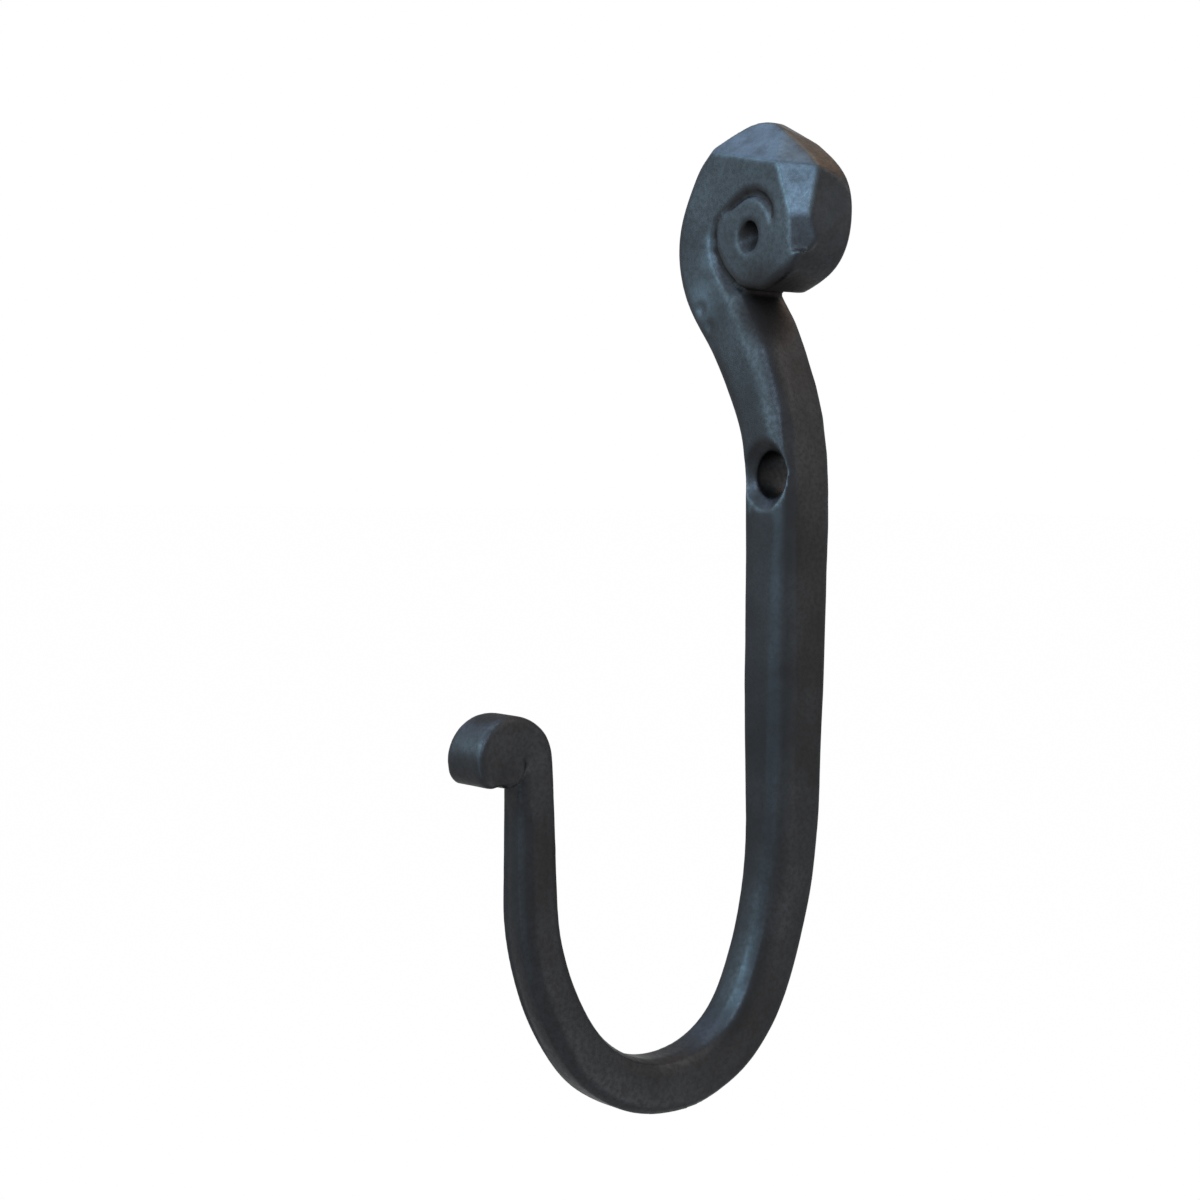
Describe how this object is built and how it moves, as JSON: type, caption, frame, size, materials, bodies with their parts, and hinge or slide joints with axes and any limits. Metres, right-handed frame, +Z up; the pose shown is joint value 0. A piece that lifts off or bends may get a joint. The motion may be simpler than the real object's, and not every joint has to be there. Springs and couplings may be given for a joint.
{
  "type": "forged coat hook",
  "caption": "Hand-forged wrought iron wall hook: square bar drawn into a deep J with a curled tip and a rolled side scroll above a countersunk screw hole.",
  "frame": {"origin": "where the screw hole's axis meets the wall plane, at the back of the bar", "axes": "+Z up along the bar, towards the scroll; -Y away from the wall, the way the hook and the screw head face; +X the side the scroll does not lean to"},
  "size_m": [0.0253, 0.0515, 0.1201],
  "materials": {
    "blackened_iron": "satin, blackened and waxed"
  },
  "bodies": {
    "root": {"coat_hook": "blackened_iron"}
  },
  "joints": []
}
